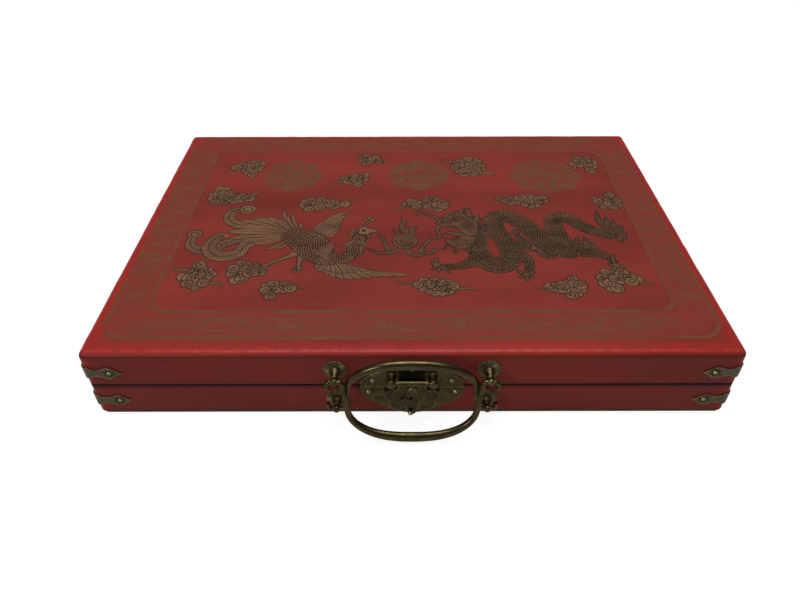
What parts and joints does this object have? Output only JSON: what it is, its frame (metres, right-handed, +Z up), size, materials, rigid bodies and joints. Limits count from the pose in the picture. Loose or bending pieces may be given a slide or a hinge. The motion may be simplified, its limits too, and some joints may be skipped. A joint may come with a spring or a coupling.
{
  "type": "mahjong case",
  "caption": "Flat red leatherette mahjong case with rear-hinged lid, antique brass corner straps, oval hasp latch, swinging catch and drop bail handles.",
  "frame": {"origin": "centre of the underside, on the surface the case rests on", "axes": "+X to the right along the length, +Y from the latch side to the hinge side, +Z up through the lid"},
  "size_m": [0.377, 0.2979, 0.0532],
  "materials": {
    "board": "raw board, hidden under the covering",
    "leatherette": "satin red-brown leatherette, lightly crazed, printed on top",
    "felt": "dark red felt lining",
    "underside": "black leatherette sheet",
    "antique_brass": "aged brass, worn bright on the edges",
    "hinge_brass": "aged brass",
    "nail_brass": "bright brass"
  },
  "bodies": {
    "base": {"base_bottom_panel": "board", "base_front_wall": "board", "base_back_wall": "board", "base_left_wall": "board", "base_right_wall": "board", "base_cover": "leatherette", "base_underside_sheet": "underside", "base_lining": "felt", "base_strap_front_left": "antique_brass", "base_strap_front_right": "antique_brass", "base_strap_back_left": "antique_brass", "base_strap_back_right": "antique_brass", "base_strap_nails": "nail_brass", "latch_lower_plate": "antique_brass", "latch_staple": "antique_brass", "latch_lower_nails": "nail_brass", "lower_rosette_left": "antique_brass", "lower_rosette_right": "antique_brass", "lower_bail_post_left": "antique_brass", "lower_bail_post_right": "antique_brass", "hinge_lower_leaf_left": "hinge_brass", "hinge_lower_leaf_right": "hinge_brass", "hinge_pin_left": "hinge_brass", "hinge_pin_right": "hinge_brass", "hinge_lower_nails": "nail_brass"},
    "lid": {"lid_top_panel": "board", "lid_front_wall": "board", "lid_back_wall": "board", "lid_left_wall": "board", "lid_right_wall": "board", "lid_cover": "leatherette", "lid_lining": "felt", "lid_strap_front_left": "antique_brass", "lid_strap_front_right": "antique_brass", "lid_strap_back_left": "antique_brass", "lid_strap_back_right": "antique_brass", "lid_strap_nails": "nail_brass", "latch_upper_plate": "antique_brass", "latch_upper_nails": "nail_brass", "hasp_post_left": "antique_brass", "hasp_post_right": "antique_brass", "hasp_pin": "antique_brass", "upper_rosette_left": "antique_brass", "upper_rosette_right": "antique_brass", "upper_bail_post_left": "antique_brass", "upper_bail_post_right": "antique_brass", "hinge_upper_leaf_left": "hinge_brass", "hinge_upper_leaf_right": "hinge_brass", "hinge_upper_nails": "nail_brass"},
    "hasp": {"hasp_plate": "antique_brass", "catch_rivet": "antique_brass"},
    "catch": {"catch_plate": "antique_brass", "catch_knob": "antique_brass"},
    "upper_bail": {"upper_bail": "antique_brass"},
    "lower_bail": {"lower_bail": "antique_brass"}
  },
  "joints": [
    {"name": "lid_hinge", "type": "hinge", "parent": "base", "child": "lid", "pos_m": [0, 0.1374, 0.0251], "axis": [-1, 0, 0], "range_deg": [0, 180]},
    {"name": "hasp_hinge", "type": "hinge", "parent": "lid", "child": "hasp", "pos_m": [0, -0.1418, 0.0334], "axis": [-1, 0, 0], "range_deg": [0, 135]},
    {"name": "catch_swing", "type": "hinge", "parent": "hasp", "child": "catch", "pos_m": [0, -0.1394, 0.0254], "axis": [0, -1, 0], "range_deg": [-80, 80]},
    {"name": "upper_bail_swing", "type": "hinge", "parent": "lid", "child": "upper_bail", "pos_m": [0, -0.145, 0.0381], "axis": [-1, 0, 0], "range_deg": [0, 195]},
    {"name": "lower_bail_swing", "type": "hinge", "parent": "base", "child": "lower_bail", "pos_m": [0, -0.1438, 0.0146], "axis": [1, 0, 0], "range_deg": [0, 105]}
  ],
  "couplings": [
    {"joint": "lower_bail_swing", "follows": "lid_hinge", "ratio": 0.58}
  ]
}
